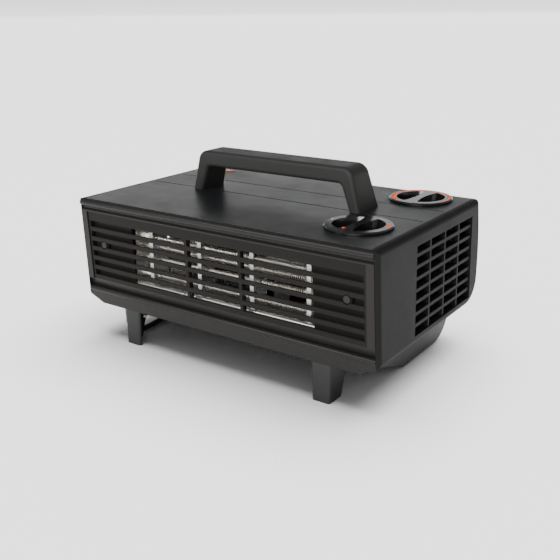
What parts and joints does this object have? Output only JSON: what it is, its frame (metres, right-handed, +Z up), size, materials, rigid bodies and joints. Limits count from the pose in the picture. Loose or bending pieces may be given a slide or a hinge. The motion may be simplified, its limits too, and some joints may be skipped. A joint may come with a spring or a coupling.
{
  "type": "portable fan heater",
  "caption": "Portable fan heater with a slatted outlet over wire coils, side air inlets, a rounded belly, two dials and a carrying handle.",
  "frame": {"origin": "on the floor, under the middle of the heater without its cord", "axes": "+X to the right seen from the front, +Y towards the back, +Z up"},
  "size_m": [0.3849, 0.338, 0.2004],
  "materials": {
    "casing_black": "satin moulded ABS with a fine texture",
    "panel_grey": "matt moulded plastic",
    "belly_black": "matt moulded plastic",
    "grille_black": "satin moulded plastic",
    "knob_black": "gloss moulded plastic with orange and white marks",
    "rubber_black": "matt rubber",
    "cord_black": "satin vinyl sheath",
    "lens_orange": "clear orange lens",
    "lamp_glass": "clear glass",
    "bright_sheet": "bright aluminised sheet",
    "support_sheet": "bright steel sheet",
    "resistance_wire": "bare resistance wire",
    "ceramic_white": "glazed ceramic",
    "switch_grey": "matt phenolic",
    "bearing_bronze": "sintered bronze",
    "winding_copper": "enamelled copper wire",
    "stack_steel": "laminated steel",
    "shaft_steel": "ground steel",
    "screw_steel": "zinc plated steel",
    "black_screw": "blackened steel",
    "pin_brass": "bright brass"
  },
  "bodies": {
    "casing": {"air_guide": "bright_sheet", "air_ramp": "bright_sheet", "base_cover": "belly_black", "base_screws": "screw_steel", "ceramic_terminals": "ceramic_white", "cord_grommet": "rubber_black", "cord_tie": "casing_black", "duct_frame": "bright_sheet", "element_supports": "support_sheet", "foot_screws": "screw_steel", "front_frame": "casing_black", "front_grille": "grille_black", "grille_screws": "black_screw", "handle": "casing_black", "handle_screws": "screw_steel", "indicator_lamp": "lamp_glass", "indicator_lens": "lens_orange", "left_bearing": "bearing_bronze", "left_bearing_bridge": "support_sheet", "left_front_foot": "belly_black", "left_inlet_ring": "bright_sheet", "left_side_panel": "panel_grey", "lower_heating_coils": "resistance_wire", "motor_stand": "support_sheet", "motor_stator": "stack_steel", "motor_studs": "screw_steel", "motor_winding": "winding_copper", "plug_body": "rubber_black", "plug_pins": "pin_brass", "power_cord": "cord_black", "power_cord_coil": "cord_black", "power_cord_tail": "cord_black", "rear_cover": "casing_black", "rear_foot_pads": "rubber_black", "right_bearing": "bearing_bronze", "right_bearing_bridge": "support_sheet", "right_front_foot": "belly_black", "right_inlet_ring": "bright_sheet", "right_side_panel": "panel_grey", "selector_switch": "switch_grey", "terminal_block": "switch_grey", "thermal_cutout": "ceramic_white", "thermal_fuse": "support_sheet", "thermostat": "ceramic_white", "top_cover": "casing_black", "upper_heating_coils": "resistance_wire"},
    "selector": {"selector_knob": "knob_black", "selector_shaft": "shaft_steel"},
    "thermostat_dial": {"thermostat_knob": "knob_black", "thermostat_spindle": "shaft_steel"},
    "blower": {"left_blower_wheel": "bright_sheet", "right_blower_wheel": "bright_sheet", "rotor_shaft": "shaft_steel", "rotor_core": "stack_steel"}
  },
  "joints": [
    {"name": "selector_turn", "type": "hinge", "parent": "casing", "child": "selector", "pos_m": [0.128, -0.0526, 0.15], "axis": [0, 0, 1], "range_deg": [-270, 0]},
    {"name": "thermostat_turn", "type": "hinge", "parent": "casing", "child": "thermostat_dial", "pos_m": [0.128, 0.0764, 0.15], "axis": [0, 0, 1], "range_deg": [-280, 0]},
    {"name": "blower_spin", "type": "hinge", "parent": "casing", "child": "blower", "pos_m": [0, 0.0334, 0.084], "axis": [1, 0, 0], "continuous": true}
  ]
}
